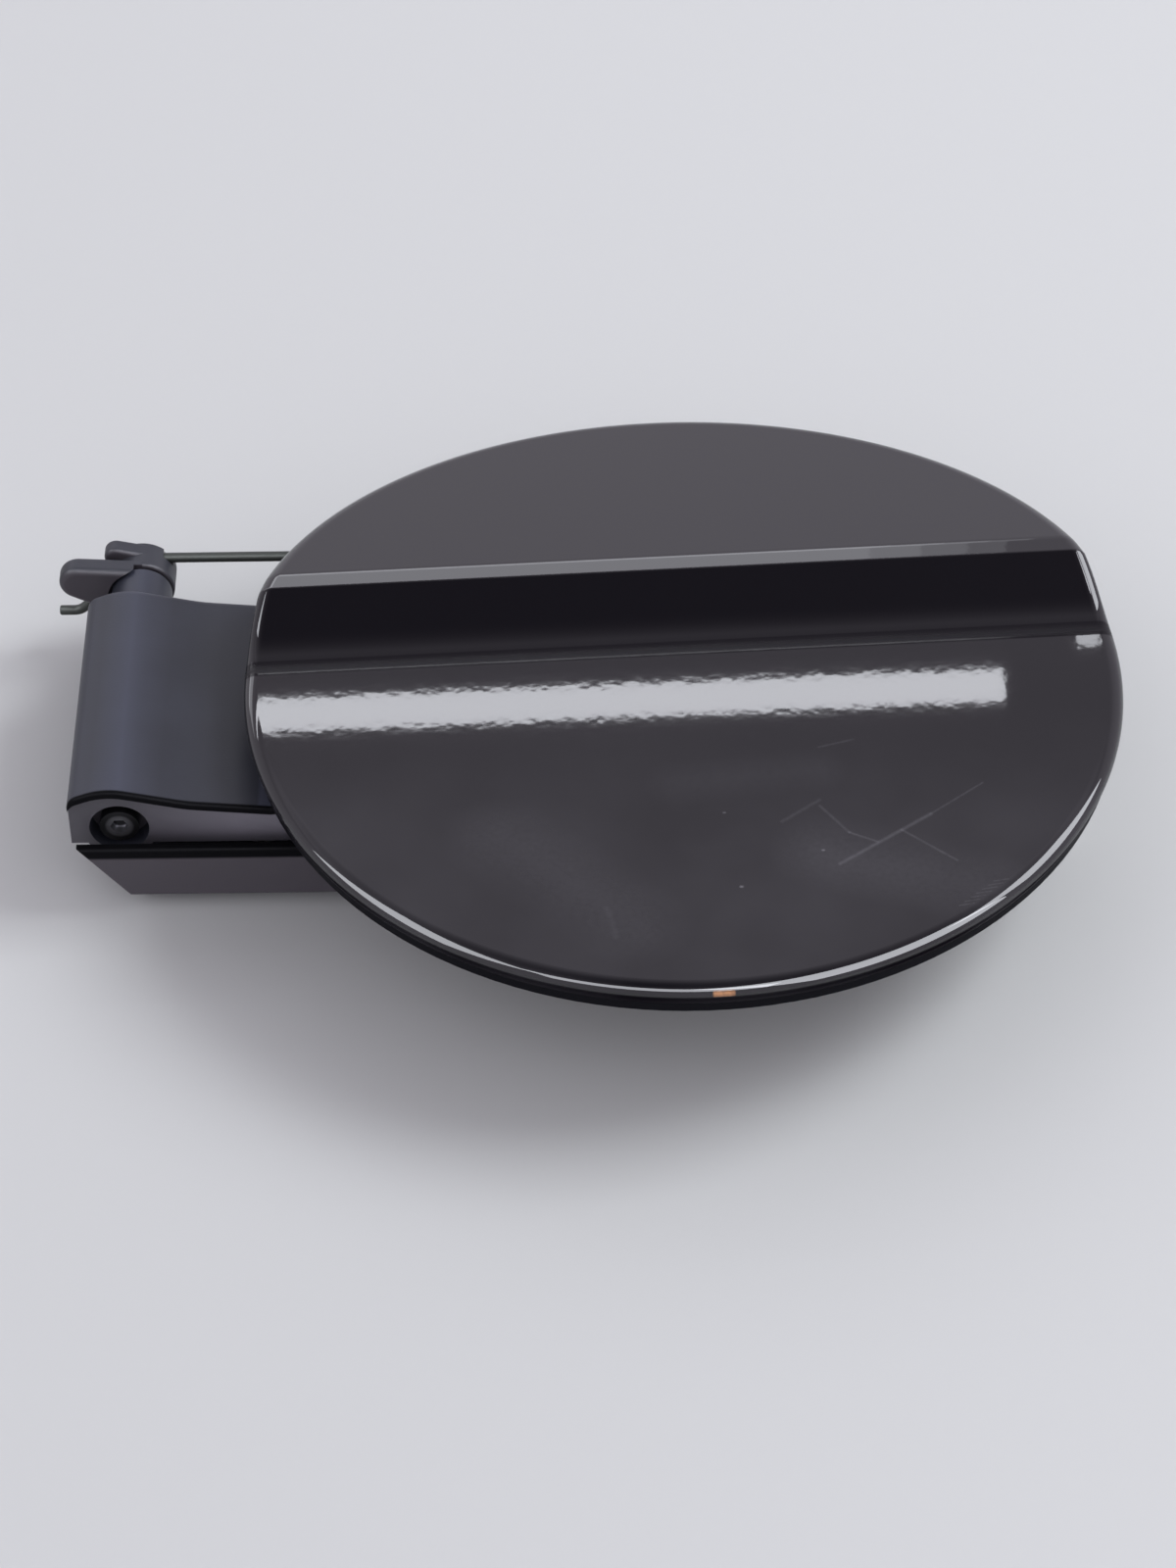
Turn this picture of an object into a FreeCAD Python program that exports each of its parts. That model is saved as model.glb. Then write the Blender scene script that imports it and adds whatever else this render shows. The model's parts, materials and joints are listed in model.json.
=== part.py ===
"""Hinged fuel filler flap: a round painted flap on a plastic hinge arm, closed, in millimetres.

X runs from the hinge to the flap, Y along the hinge pin, Z out of the car body.
The origin is the middle of the base's two screw holes, on the face that meets the body.
"""
import math
import os

import FreeCAD
import Part

V = FreeCAD.Vector
Y_AXIS = V(0, 1, 0)

# round flap: place, outline and pressed shape
FLAP_X = 79.6
FLAP_Y = -4.0
FLAP_R = 82.5
CREASE_Z = 38.0
CREASE_OFFSET = 23.9
CREASE_TURN = 3.1
CREASE_BLUNT = 0.4
STRIP_W = 3.3
STRIP_SLOPE = 5.0
STRIP_R = 20.0
UPPER_SLOPE = 11.4
SCOOP_DEPTH = 5.8
SCOOP_SLOPE = 22.0
SCOOP_R = 60.0

# sheets of the flap, measured down from the painted face
SHEET = 0.9
SKIN_RIM = 4.2
SKIN_EDGE_R = 1.6
PANEL_DEPTH = 3.4
PANEL_RIM = 6.4
PANEL_EDGE_R = 0.5
BOND_GAP = 0.05

# hinge pin
PIN_X = -26.0
PIN_Z = 15.9
PIN_R = 2.5
PIN_HEAD_R = 3.7
PIN_HEAD_T = 2.8
PIN_HEAD_OUT = -0.4
PIN_SOCKET = 3.0
PIN_SOCKET_DEPTH = 1.6
PIN_TAIL = 2.4
RUNNING_GAP = 0.05
FIT_GAP = 0.02

# hinge arm
BARREL_R = 10.2
HOOD_REACH = 9.2
SHOULDER_Z = 24.4
SHOULDER_R = 3.0
HOOD_X = -28.0
HOOD_Z = 27.2
HOOD_R = 12.0
ARM_NEAR_Y = -27.2
ARM_FAR_Y = 28.4
ARM_WALL = 3.0
CHEEK_T = 6.0
CHEEK_REACH = 13.0
ARM_DROP = 3.8
LIP_OUT = 2.0
LIP_T = 1.3
LIP_EDGE_R = 0.7
GROOVE_H = 1.2
GROOVE_DEPTH = 2.0
BOSS_R = 7.2
POCKET_R = 5.6
POCKET_DEPTH = 4.4
NECK_R = 6.0
NECK_L = 11.0
SADDLE_X = -13.0
SADDLE_Z = 23.6
DIP_X = 5.0
DIP_Z = 21.8
SADDLE_R = 30.0
DIP_R = 5.0
ARM_EDGE_R = 1.6
RISE_X = 17.0
BELLY_X = 26.0
PAD_START_X = 34.0
PAD_END_X = 74.0
PAD_T = 4.0

# hinge base
BASE_LIFT = 2.6
BASE_T = 3.0
BASE_END_X = 30.0
BASE_WALL = 1.8
BASE_EDGE_R = 0.8
BASE_SIDE_GAP = 1.0
BASE_WALL_TOP = 14.6
BASE_SLOPE_TOP_X = -33.9
BASE_SLOPE_LOW_X = -24.7
TONGUE_R = 6.5
TONGUE_GAP = 0.6
WEB_X = 5.2
WEB_T = 4.0
WEB_TOP = 2.0
FAR_WALL_TOP = 9.4
EAR_GAP = 0.8
EAR_T = 2.0
EAR_R = 6.4
EAR_FOOT_HALF = 4.5
EAR_EDGE_R = 0.7
LOBE_X = -12.2
LOBE_Z = 3.4
LOBE_R = 3.8
LOBE_T = 4.6
LOBE_EDGE_R = 1.3
NUB_X = -5.0
NUB_Z = 5.4
NUB_R = 2.3
NUB_T = 3.6
NUB_EDGE_R = 0.9
NECK_GAP = 0.6
SCREW_PITCH = 34.0
FOOT_R = 7.0
SLEEVE_R = 4.2
SLEEVE_BORE_R = 2.7
SLEEVE_PROUD = 0.2

# torsion spring and its keeper
WIRE_R = 1.0
COIL_R = 3.6
COIL_TURNS = 1
COIL_PITCH = 2.1
COIL_GAP = 0.2
CUP_GAP = 0.3
LEG_DIAGONAL = 45.0
LEG_DROP = 8.0
LEG_BEND_R = 3.0
LEG_TIP_X = -17.2
LEG_END_X = 27.0
KEEPER_X = 21.0
KEEPER_W = 7.0
KEEPER_WALL = 2.6
KEEPER_GAP = 0.2
CLIP_R = 5.4
CLIP_T = 0.9

# fasteners under the flap
ARM_SCREW_X = (40.0, 67.0)
ARM_SCREW_Y = (-23.0, -13.0)
SCREW_R = 2.0
SCREW_HEAD_R = 3.8
SCREW_HEAD_T = 2.4
HOLE_GAP = 0.1
NUT_ACROSS = 7.0
NUT_T = 2.2

# latch striker and rubber buffers
STRIKER_INSET = 13.0
STRIKER_SHIFT = -6.0
STRIKER_PLATE_L = 20.0
STRIKER_W = 18.0
STRIKER_T = 2.5
STRIKER_PLATE_T = 1.6
EYE_R = 4.2
EYE_Z = 9.5
RIVET_R = 1.6
RIVET_HEAD_R = 2.8
RIVET_HEAD_T = 1.2
RIVET_SPAN = 8.0
RIVET_FROM_EDGE = 14.0
BUFFER_R = 5.5
BUFFER_H = 6.5
BUFFER_INSET = 10.4
BUFFER_ANGLE = 46.0
STEM_R = 2.0
STEM_HEAD = 1.4

# places that follow from the sizes above
FIELD_Z = CREASE_Z - SCOOP_DEPTH
CREASE_R = SKIN_EDGE_R + CREASE_BLUNT
UNDERSIDE = PANEL_DEPTH + SHEET
STRIKER_X = FLAP_X + FLAP_R - STRIKER_INSET
STRIKER_Y = FLAP_Y + STRIKER_SHIFT
HOOD_LEFT_X = PIN_X - HOOD_REACH
UNDER_Z = FIELD_Z - UNDERSIDE
PAD_FACE_Z = UNDER_Z - PAD_T
ARM_FLOOR_Z = PIN_Z - ARM_DROP
BASE_TOP_Z = BASE_LIFT + BASE_T
BASE_NEAR_Y = ARM_NEAR_Y - LIP_OUT - BASE_SIDE_GAP - BASE_WALL
BASE_FAR_Y = ARM_FAR_Y + BASE_SIDE_GAP
NECK_END_Y = ARM_FAR_Y + NECK_L
EAR_Y = NECK_END_Y + EAR_GAP
COIL_Y = EAR_Y + EAR_T + COIL_GAP + WIRE_R
LEG_Y = COIL_Y + COIL_TURNS * COIL_PITCH
CLIP_Y = LEG_Y + WIRE_R + COIL_GAP
PRESS_HALF = 1.2 * FLAP_R
BIG = 2 * PRESS_HALF

# helpers for cutting and for finding edges
CUT_PAST = 1.0
PROBE = 0.2
CLOSE = 0.01


def box(x0, x1, y0, y1, z0, z1):
    """Box between two corners."""
    return Part.makeBox(x1 - x0, y1 - y0, z1 - z0, V(x0, y0, z0))


def upright(r, x, y, z0, z1):
    """Cylinder along Z."""
    return Part.makeCylinder(r, z1 - z0, V(x, y, z0))


def along_pin(r, y0, y1, x=PIN_X, z=PIN_Z):
    """Cylinder along Y, on the pin's line unless told otherwise."""
    return Part.makeCylinder(r, y1 - y0, V(x, y0, z), Y_AXIS)


def along_x(r, x0, x1, y, z):
    """Cylinder along X."""
    return Part.makeCylinder(r, x1 - x0, V(x0, y, z), V(1, 0, 0))


def prism_y(points, y0, y1):
    """Side profile of (x, z) corners, drawn out along Y."""
    corners = [V(x, y0, z) for x, z in points]
    wire = Part.makePolygon(corners + corners[:1])
    return Part.Face(wire).extrude(V(0, y1 - y0, 0))


def hex_prism(across, x, y, z0, z1):
    """Six-sided prism along Z."""
    r = across / math.sqrt(3.0)
    corners = [V(x + r * math.cos(math.radians(60 * i)), y + r * math.sin(math.radians(60 * i)), z0)
               for i in range(6)]
    return Part.Face(Part.makePolygon(corners + corners[:1])).extrude(V(0, 0, z1 - z0))


def joined(shapes):
    """Union of several shapes, without leftover seams."""
    return shapes[0].multiFuse(shapes[1:]).removeSplitter()


def rounded_path(points, radii):
    """Edges through the points, each inner corner rounded by its radius."""
    starts = [points[0]]
    edges = []
    for before, corner, after, r in zip(points, points[1:], points[2:], radii):
        back = (before - corner).normalize()
        ahead = (after - corner).normalize()
        half = back.getAngle(ahead) / 2.0
        reach = r / math.tan(half)
        middle = corner + (back + ahead).normalize() * (r / math.sin(half) - r)
        tangent_in = corner + back * reach
        tangent_out = corner + ahead * reach
        edges.append(Part.makeLine(starts[-1], tangent_in))
        edges.append(Part.Arc(tangent_in, middle, tangent_out).toShape())
        starts.append(tangent_out)
    edges.append(Part.makeLine(starts[-1], points[-1]))
    return edges


def press_profile(depth):
    """Edges of the pressed shape across the crease, lowered by a depth."""
    low_y = CREASE_OFFSET - SCOOP_DEPTH / math.tan(math.radians(SCOOP_SLOPE))
    strip_y = CREASE_OFFSET + STRIP_W
    strip_z = CREASE_Z - STRIP_W * math.tan(math.radians(STRIP_SLOPE))
    far_z = strip_z - (PRESS_HALF - strip_y) * math.tan(math.radians(UPPER_SLOPE))
    corners = [(-PRESS_HALF, FIELD_Z), (low_y, FIELD_Z), (CREASE_OFFSET, CREASE_Z),
               (strip_y, strip_z), (PRESS_HALF, far_z)]
    points = [V(-PRESS_HALF, y, z - depth) for y, z in corners]
    return rounded_path(points, (SCOOP_R, CREASE_R, STRIP_R))


def in_flap_place(shape):
    """Turn a shape made about the flap's own centre and set it in the frame."""
    shape.rotate(V(0, 0, 0), V(0, 0, 1), CREASE_TURN)
    shape.translate(V(FLAP_X, FLAP_Y, 0))
    return shape


def flap_layer(top, bottom, radius):
    """Round layer of the flap between two depths under the painted face."""
    upper = press_profile(top)
    lower = press_profile(bottom)
    ends = [Part.makeLine(upper[i].Vertexes[i].Point, lower[i].Vertexes[i].Point) for i in (0, -1)]
    outline = Part.Wire(Part.__sortEdges__(upper + lower + ends))
    sheet = Part.Face(outline).extrude(V(BIG, 0, 0))
    disc = upright(radius, 0, 0, FIELD_Z - BIG / 4, CREASE_Z + BIG / 4)
    return in_flap_place(sheet.common(disc))


def above_underside():
    """Everything above the inner panel's underside, for cutting what hangs below it."""
    return flap_layer(-BIG / 8, UNDERSIDE, FLAP_R)


def rim_edges(layer, radius, side):
    """Edges where the round side of a flap layer meets its upper face (side 1) or lower face (side -1)."""
    picked = []
    for edge in layer.Edges:
        middle = edge.valueAt((edge.FirstParameter + edge.LastParameter) / 2.0)
        inward = V(FLAP_X - middle.x, FLAP_Y - middle.y, 0)
        if abs(inward.Length - radius) > CLOSE or len(edge.Vertexes) < 2:
            continue
        inner = middle + inward.normalize() * PROBE
        within = layer.isInside(inner - V(0, 0, side * PROBE), CLOSE, False)
        beyond = layer.isInside(inner + V(0, 0, side * PROBE), CLOSE, False)
        if within and not beyond:
            picked.append(edge)
    return picked


def outer_skin():
    """Painted outer sheet with a rolled edge and a short rim."""
    solid = flap_layer(0, SKIN_RIM, FLAP_R)
    rolled = solid.makeFillet(SKIN_EDGE_R, rim_edges(solid, FLAP_R, 1))
    return rolled.cut(flap_layer(SHEET, SKIN_RIM + SHEET, FLAP_R - SHEET))


def panel_holes():
    """Holes of the inner panel for screws, rivets, buffers and keeper."""
    z0 = UNDER_Z - SHEET
    z1 = CREASE_Z
    holes = [upright(SCREW_R + HOLE_GAP, x, y, z0, z1) for x, y in arm_screw_places()]
    holes += [upright(RIVET_R + FIT_GAP, x, y, z0, z1) for x, y in rivet_places()]
    stems = buffer_places() + [keeper_place()]
    holes += [upright(STEM_R + FIT_GAP, x, y, z0 - BUFFER_H, z1) for x, y in stems]
    return holes


def inner_panel():
    """Inner sheet: a flat pan with its edge turned down inside the skin's rim."""
    r = FLAP_R - SHEET - BOND_GAP
    pan = flap_layer(PANEL_DEPTH, PANEL_RIM, r)
    pan = pan.makeFillet(PANEL_EDGE_R, rim_edges(pan, r, -1))
    hollow = flap_layer(UNDERSIDE, PANEL_RIM + SHEET, r - SHEET)
    return pan.cut(hollow).cut(panel_holes())


def arm_screw_places():
    """Centres of the screws that hold the arm to the flap."""
    return [(x, y) for x in ARM_SCREW_X for y in ARM_SCREW_Y]


def rivet_places():
    """Centres of the striker's rivets."""
    x = STRIKER_X - RIVET_FROM_EDGE
    return [(x, STRIKER_Y - RIVET_SPAN / 2), (x, STRIKER_Y + RIVET_SPAN / 2)]


def buffer_places():
    """Centres of the two rubber buffers."""
    r = FLAP_R - BUFFER_INSET
    angles = [math.radians(side * BUFFER_ANGLE) for side in (-1, 1)]
    return [(FLAP_X + r * math.cos(a), FLAP_Y + r * math.sin(a)) for a in angles]


def keeper_place():
    """Centre of the spring keeper, over the spring's long leg."""
    return (KEEPER_X + KEEPER_W / 2, LEG_Y)


def arm_side(y0, y1):
    """Side view of the arm (hood, saddle, dip under the rim, rise, pad and belly), drawn out along Y."""
    top_z = CREASE_Z
    points = [(HOOD_LEFT_X, ARM_FLOOR_Z), (HOOD_LEFT_X, SHOULDER_Z), (HOOD_X, HOOD_Z), (SADDLE_X, SADDLE_Z),
              (DIP_X, DIP_Z), (RISE_X, top_z)]
    edges = rounded_path([V(x, y0, z) for x, z in points], (SHOULDER_R, HOOD_R, SADDLE_R, DIP_R))
    rest = [(RISE_X, top_z), (PAD_END_X, top_z), (PAD_END_X, PAD_FACE_Z), (PAD_START_X, PAD_FACE_Z),
            (BELLY_X, ARM_FLOOR_Z), (HOOD_LEFT_X, ARM_FLOOR_Z)]
    edges += Part.makePolygon([V(x, y0, z) for x, z in rest]).Edges
    face = Part.Face(Part.Wire(Part.__sortEdges__(edges)))
    return face.extrude(V(0, y1 - y0, 0))


def arm_hollow():
    """Space inside the arm, open below: room for the base's tongue, wider past the cheeks."""
    low = ARM_FLOOR_Z - CUT_PAST
    near = ARM_NEAR_Y + CHEEK_T
    far = ARM_FAR_Y - CHEEK_T
    inner_r = BARREL_R - ARM_WALL
    ceiling = [(PIN_X, low), (PIN_X, PIN_Z + inner_r), (SADDLE_X, SADDLE_Z - ARM_WALL),
               (DIP_X + ARM_WALL, DIP_Z - ARM_WALL), (RISE_X - ARM_WALL, PAD_FACE_Z),
               (PAD_START_X - ARM_WALL, PAD_FACE_Z), (BELLY_X - ARM_WALL, low)]
    barrel = along_pin(inner_r, near, far)
    mouth = box(PIN_X - inner_r, PIN_X, near, far, low, PIN_Z)
    narrow = prism_y(ceiling, near, far)
    past_cheeks = box(PIN_X + CHEEK_REACH, PAD_END_X, ARM_NEAR_Y + ARM_WALL, ARM_FAR_Y - ARM_WALL,
                      low, CREASE_Z)
    wide = prism_y(ceiling, ARM_NEAR_Y, ARM_FAR_Y).common(past_cheeks)
    return joined([barrel, mouth, narrow, wide])


def hood_edges(shell, y):
    """Edges round the hood and over the saddle in the end face at one place along the pin."""
    picked = []
    for edge in shell.Edges:
        ends = [v.Point for v in edge.Vertexes]
        on_end = all(abs(p.y - y) < CLOSE and p.x < DIP_X for p in ends)
        middle = edge.valueAt((edge.FirstParameter + edge.LastParameter) / 2.0)
        if on_end and middle.z > ARM_FLOOR_Z + CLOSE:
            picked.append(edge)
    return picked


def lowered(shape, drop):
    """Copy of a shape, moved down."""
    copy = shape.copy()
    copy.translate(V(0, 0, -drop))
    return copy


def arm_lip():
    """Thin edge that stands out from the near wall over the hood and the saddle, as far as the flap's rim."""
    y0 = ARM_NEAR_Y - LIP_OUT
    top = arm_side(y0, ARM_NEAR_Y)
    rounded = top.makeFillet(LIP_EDGE_R, hood_edges(top, y0))
    reach = box(HOOD_LEFT_X, DIP_X, y0, ARM_NEAR_Y, ARM_FLOOR_Z, CREASE_Z)
    return rounded.cut(lowered(top, LIP_T)).common(reach)


def lip_groove():
    """Groove in the near wall right under the lip."""
    y1 = ARM_NEAR_Y + GROOVE_DEPTH
    side = arm_side(ARM_NEAR_Y - LIP_OUT, y1)
    reach = box(HOOD_LEFT_X + SHOULDER_R, DIP_X, ARM_NEAR_Y - LIP_OUT, y1, ARM_FLOOR_Z, CREASE_Z)
    return lowered(side, LIP_T).cut(lowered(side, LIP_T + GROOVE_H)).common(reach)


def hinge_arm():
    """Gooseneck arm: hood with two bearing cheeks, saddle, belly and screwed pad."""
    shell = arm_side(ARM_NEAR_Y, ARM_FAR_Y)
    shell = shell.makeFillet(ARM_EDGE_R, hood_edges(shell, ARM_FAR_Y))
    neck = along_pin(NECK_R, ARM_FAR_Y - CHEEK_T, NECK_END_Y)
    boss = along_pin(BOSS_R, ARM_NEAR_Y, ARM_NEAR_Y + CHEEK_T)
    arm = joined([shell, neck, boss, arm_lip()])
    bore = along_pin(PIN_R + RUNNING_GAP, ARM_NEAR_Y, NECK_END_Y)
    pocket = along_pin(POCKET_R, ARM_NEAR_Y - LIP_OUT, ARM_NEAR_Y + POCKET_DEPTH)
    low = PAD_FACE_Z - CUT_PAST
    holes = [upright(SCREW_R + HOLE_GAP, x, y, low, CREASE_Z) for x, y in arm_screw_places()]
    return arm.cut([arm_hollow(), above_underside(), lip_groove(), bore, pocket] + holes)


def arm_screws():
    """Screws through the arm's pad into the nuts behind the inner panel."""
    z1 = UNDER_Z + SHEET + NUT_T
    return [upright(SCREW_HEAD_R, x, y, PAD_FACE_Z - SCREW_HEAD_T, PAD_FACE_Z)
            .fuse(upright(SCREW_R, x, y, PAD_FACE_Z, z1)) for x, y in arm_screw_places()]


def panel_nuts():
    """Nuts welded to the hidden face of the inner panel."""
    z0 = UNDER_Z + SHEET
    return [hex_prism(NUT_ACROSS, x, y, z0, z0 + NUT_T).cut(upright(SCREW_R + FIT_GAP, x, y, z0, z0 + NUT_T))
            for x, y in arm_screw_places()]


def latch_striker():
    """Bent steel strip: a plate riveted to the panel and a tongue with an eye for the latch."""
    x1 = STRIKER_X
    y0 = STRIKER_Y - STRIKER_W / 2
    y1 = STRIKER_Y + STRIKER_W / 2
    plate = box(x1 - STRIKER_PLATE_L, x1, y0, y1, UNDER_Z - STRIKER_PLATE_T, UNDER_Z)
    tongue = box(x1 - STRIKER_T, x1, y0, y1, 0, UNDER_Z)
    eye = along_x(EYE_R, x1 - STRIKER_T, x1, STRIKER_Y, EYE_Z)
    holes = [upright(RIVET_R + FIT_GAP, x, y, 0, UNDER_Z) for x, y in rivet_places()]
    return joined([plate, tongue]).cut([eye] + holes)


def striker_rivets():
    """Rivets with a head on both sides of the plate and the panel."""
    low = UNDER_Z - STRIKER_PLATE_T
    high = UNDER_Z + SHEET
    return [joined([upright(RIVET_R, x, y, low, high),
                    upright(RIVET_HEAD_R, x, y, low - RIVET_HEAD_T, low),
                    upright(RIVET_HEAD_R, x, y, high, high + RIVET_HEAD_T)]) for x, y in rivet_places()]


def panel_z(x, y):
    """Height of the inner panel's underside straight above a point of the plan."""
    probe = Part.makeLine(V(x, y, 0), V(x, y, CREASE_Z * 2))
    return above_underside().common(probe).BoundBox.ZMin


def buffer(x, y):
    """Rubber buffer hanging from the panel, its stem through a hole."""
    z = panel_z(x, y)
    body = upright(BUFFER_R, x, y, z - BUFFER_H, CREASE_Z).cut(above_underside())
    stem = upright(STEM_R, x, y, z - BUFFER_H / 2, z + SHEET + STEM_HEAD)
    return joined([body, stem])


def spring_keeper():
    """Plastic block under the panel with an eye for the spring's long leg."""
    x, y = keeper_place()
    half = WIRE_R + KEEPER_GAP + KEEPER_WALL
    leg_z = PIN_Z + COIL_R
    block = box(KEEPER_X, KEEPER_X + KEEPER_W, y - half, y + half, leg_z - half, CREASE_Z)
    block = block.cut(above_underside())
    stem = upright(STEM_R, x, y, leg_z + half, panel_z(x, y) + SHEET + STEM_HEAD)
    eye = along_x(WIRE_R + KEEPER_GAP, KEEPER_X, KEEPER_X + KEEPER_W, y, leg_z)
    return joined([block, stem]).cut(eye)


def coil_point(turned, y):
    """Point of the coil's centre line, turned from the top as seen from the near end."""
    a = math.radians(90 + turned)
    return V(PIN_X + COIL_R * math.cos(a), y, PIN_Z + COIL_R * math.sin(a))


def coil_arcs():
    """Centre line of the coil as tilted half circles that run smoothly into each other."""
    arcs = []
    for i in range(2 * COIL_TURNS):
        start = coil_point(180 * i, LEG_Y - i * COIL_PITCH / 2)
        end = coil_point(180 * i + 180, LEG_Y - (i + 1) * COIL_PITCH / 2)
        side = V((end - start).Length / 2 * (-1) ** (i + 1), 0, 0)
        arcs.append(Part.Arc(start, (start + end) * 0.5 + side, end).toShape())
    last = [coil_point(LEG_DIAGONAL * part, COIL_Y) for part in (0, 0.5, 1)]
    arcs.append(Part.Arc(*last).toShape())
    return arcs


def slant_end():
    """Corner between the slanting leg and its level tip."""
    leaves = coil_point(LEG_DIAGONAL, COIL_Y)
    drop = leaves.z - (PIN_Z - LEG_DROP)
    return V(leaves.x - drop / math.tan(math.radians(LEG_DIAGONAL)), COIL_Y, PIN_Z - LEG_DROP)


def wire_along(edge):
    """Round wire along one straight or round piece of a centre line."""
    start = edge.valueAt(edge.FirstParameter)
    heading = edge.tangentAt(edge.FirstParameter)
    disc = Part.Face(Part.Wire(Part.makeCircle(WIRE_R, start, heading)))
    if isinstance(edge.Curve, Part.Circle):
        turn = math.degrees(edge.LastParameter - edge.FirstParameter)
        return disc.revolve(edge.Curve.Center, edge.Curve.Axis, turn)
    return disc.extrude(heading * edge.Length)


def torsion_spring():
    """Closing spring of round wire in the ear's cup, with a long leg and a slanting leg."""
    start = coil_point(0, LEG_Y)
    long_leg = Part.makeLine(V(LEG_END_X, LEG_Y, start.z), start)
    tip = V(PIN_X + LEG_TIP_X, COIL_Y, PIN_Z - LEG_DROP)
    short_leg = rounded_path([coil_point(LEG_DIAGONAL, COIL_Y), slant_end(), tip], [LEG_BEND_R])
    return joined([wire_along(edge) for edge in [long_leg] + coil_arcs() + short_leg])


def hinge_pin():
    """Steel pin with a socket head in the arm's pocket."""
    head_y = ARM_NEAR_Y - PIN_HEAD_OUT
    head = along_pin(PIN_HEAD_R, head_y, head_y + PIN_HEAD_T)
    shank = along_pin(PIN_R, head_y + PIN_HEAD_T, CLIP_Y + CLIP_T + PIN_TAIL)
    socket = hex_prism(PIN_SOCKET, 0, 0, 0, PIN_SOCKET_DEPTH)
    socket.rotate(V(0, 0, 0), V(1, 0, 0), -90)
    socket.translate(V(PIN_X, head_y, PIN_Z))
    return joined([head, shank]).cut(socket)


def pin_clip():
    """Push-on ring that keeps the spring on the pin."""
    return along_pin(CLIP_R, CLIP_Y, CLIP_Y + CLIP_T).cut(along_pin(PIN_R + FIT_GAP, CLIP_Y, CLIP_Y + CLIP_T))


def screw_places():
    """Centres of the base's two screw holes."""
    return [(0.0, -SCREW_PITCH / 2), (0.0, SCREW_PITCH / 2)]


def web_between(x0, z0, r0, x1, z1, r1, y0, y1):
    """Flat arm with tangent sides between two round ends, in the side view."""
    length = math.hypot(x1 - x0, z1 - z0)
    heading = math.atan2(z1 - z0, x1 - x0)
    spread = math.acos((r0 - r1) / length)
    corners = []
    for x, z, r in ((x0, z0, r0), (x1, z1, r1)):
        sides = [heading + side * spread for side in (1, -1)]
        corners.append([(x + r * math.cos(a), z + r * math.sin(a)) for a in sides])
    outline = [corners[0][0], corners[1][0], corners[1][1], corners[0][1]]
    tip = along_pin(r1, y0, y1, x1, z1)
    return joined([prism_y(outline, y0, y1), tip])


def edges_at(shape, y):
    """Edges of a shape that lie wholly at one place along the pin."""
    return [edge for edge in shape.Edges if all(abs(v.Point.y - y) < CLOSE for v in edge.Vertexes)]


def ear_arm(x, z, r, y0, y1, edge_r):
    """Arm of the ear from the pin to a round tip, with its outer edges rounded."""
    arm = web_between(PIN_X, PIN_Z, EAR_R, x, z, r, y0, y1)
    outer = []
    for edge in edges_at(arm, y0) + edges_at(arm, y1):
        middle = edge.valueAt((edge.FirstParameter + edge.LastParameter) / 2.0)
        if math.hypot(middle.x - PIN_X, middle.z - PIN_Z) > EAR_R:
            outer.append(edge)
    return arm.makeFillet(edge_r, outer)


def ear_lobe():
    """Stop beside the neck, clear of the neck that turns in front of the ear."""
    y0 = EAR_Y + EAR_T - LOBE_T
    lobe = ear_arm(PIN_X + LOBE_X, PIN_Z + LOBE_Z, LOBE_R, y0, EAR_Y + EAR_T, LOBE_EDGE_R)
    return lobe.cut(along_pin(NECK_R + NECK_GAP, y0, EAR_Y))


def base_ear():
    """Far ear that carries the pin: cup for the coil, foot, lobe and nub."""
    y1 = EAR_Y + EAR_T
    cup = along_pin(EAR_R, EAR_Y, CLIP_Y)
    cup = cup.makeFillet(EAR_EDGE_R, edges_at(cup, EAR_Y))
    nub = ear_arm(PIN_X + NUB_X, PIN_Z + NUB_Z, NUB_R, CLIP_Y - NUB_T, CLIP_Y, NUB_EDGE_R)
    foot = box(PIN_X - EAR_FOOT_HALF, PIN_X + EAR_FOOT_HALF, EAR_Y, y1, BASE_LIFT, PIN_Z)
    tab = box(PIN_X - EAR_FOOT_HALF, PIN_X + EAR_FOOT_HALF, BASE_FAR_Y, y1, BASE_LIFT, BASE_TOP_Z)
    return [cup, ear_lobe(), nub, foot, tab]


def ear_hollows():
    """Room in the ear for the coil and for the wire's two ways out."""
    half = WIRE_R + COIL_GAP
    room = along_pin(COIL_R + WIRE_R + CUP_GAP, EAR_Y + EAR_T, CLIP_Y)
    start = coil_point(0, LEG_Y)
    right = box(PIN_X, PIN_X + 2 * EAR_R, LEG_Y - half, CLIP_Y, start.z - half, start.z + half)
    left = box(0, 2 * EAR_R, EAR_Y + EAR_T, CLIP_Y, -half, half)
    left.rotate(V(0, 0, 0), V(0, -1, 0), 180 + LEG_DIAGONAL)
    leaves = coil_point(LEG_DIAGONAL, COIL_Y)
    left.translate(V(leaves.x, 0, leaves.z))
    return [room, right, left]


def base_side(y0, top_z, outer_y):
    """Side wall of the base, cut back at its low left corner and rounded at its outer face."""
    steep = (BASE_SLOPE_LOW_X - BASE_SLOPE_TOP_X) / (BASE_WALL_TOP - BASE_LIFT)
    left_x = BASE_SLOPE_LOW_X - steep * (top_z - BASE_LIFT)
    points = [(left_x, top_z), (BASE_END_X, top_z), (BASE_END_X, BASE_LIFT), (BASE_SLOPE_LOW_X, BASE_LIFT)]
    wall = prism_y(points, y0, y0 + BASE_WALL)
    return wall.makeFillet(BASE_EDGE_R, edges_at(wall, outer_y))


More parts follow.
